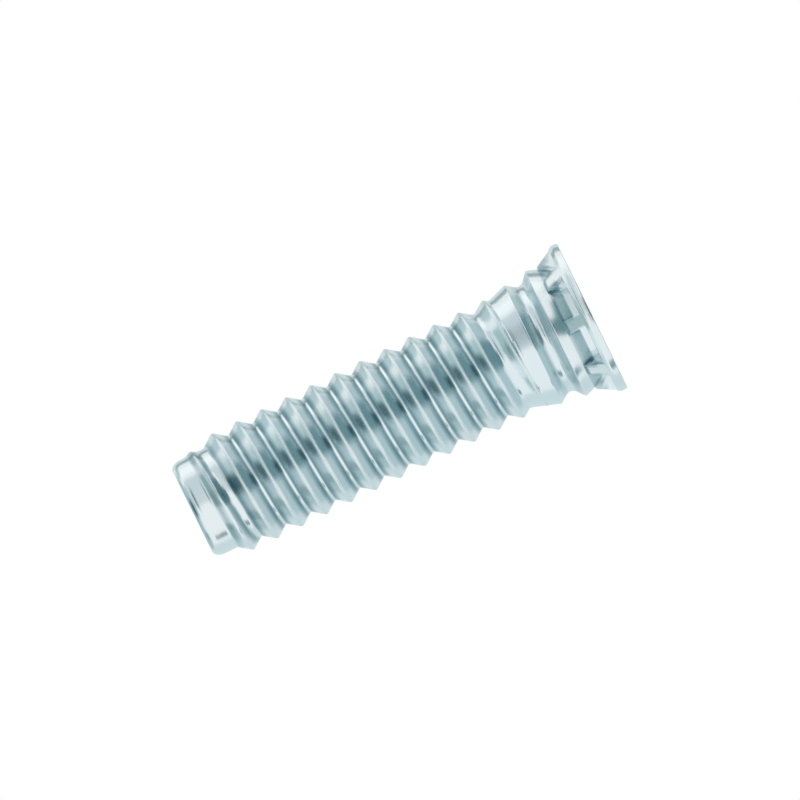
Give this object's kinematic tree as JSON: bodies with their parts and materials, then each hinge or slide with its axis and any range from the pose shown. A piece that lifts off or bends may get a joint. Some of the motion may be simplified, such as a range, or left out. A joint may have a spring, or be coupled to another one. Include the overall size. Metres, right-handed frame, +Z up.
{
  "type": "self-clinching stud",
  "caption": "Flush-head self-clinching stud: round head with gussets, dovetail neck, clinch groove, tapered collar and a right-hand threaded shank with a plain point.",
  "frame": {"origin": "centre of the head's outer face, which the stud stands on", "axes": "+Z up the shank's axis, from the head towards the point; +X through the middle of one gusset"},
  "size_m": [0.0064, 0.0064, 0.0174],
  "materials": {
    "zinc_plated_steel": "gloss"
  },
  "bodies": {
    "root": {"stud": "zinc_plated_steel"}
  },
  "joints": []
}
